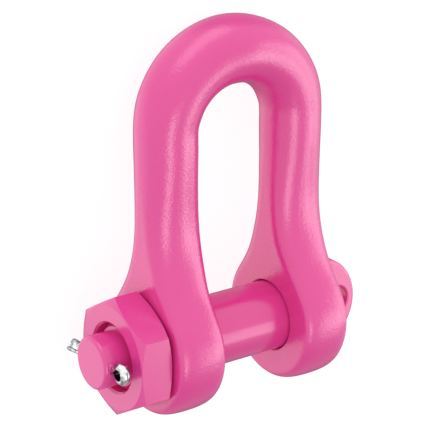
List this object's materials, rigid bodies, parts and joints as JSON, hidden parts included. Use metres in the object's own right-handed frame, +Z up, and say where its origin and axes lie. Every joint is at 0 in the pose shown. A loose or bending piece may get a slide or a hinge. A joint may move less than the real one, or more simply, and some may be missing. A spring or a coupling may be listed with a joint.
{
  "type": "chain shackle",
  "caption": "Forged D-shaped shackle: a bow with two eyes, and a round bolt across them held by a thin hexagon nut and a split pin.",
  "frame": {"origin": "on the bolt's axis, midway between the two eyes", "axes": "+X along the bolt, from its nut to its head; +Y from the bolt towards the crown of the bow; +Z up, with the shackle lying on the rims of its eyes and the back of its crown"},
  "size_m": [0.2226, 0.27, 0.097],
  "materials": {
    "bow_paint": "gloss powder coat on forged steel",
    "bolt_paint": "gloss powder coat on forged and turned steel",
    "nut_paint": "gloss powder coat on a steel nut",
    "pin_steel": "bright zinc-plated steel wire"
  },
  "bodies": {
    "bow": {"bow": "bow_paint"},
    "bolt": {"bolt": "bolt_paint", "split_pin": "pin_steel"},
    "nut": {"hex_nut": "nut_paint"}
  },
  "joints": [
    {"name": "bolt_turn", "type": "hinge", "parent": "bow", "child": "bolt", "pos_m": [0, 0, 0], "axis": [1, 0, 0], "continuous": true},
    {"name": "nut_turn", "type": "hinge", "parent": "bolt", "child": "nut", "pos_m": [0, 0, 0], "axis": [-1, 0, 0], "range_deg": [0, 365]}
  ]
}
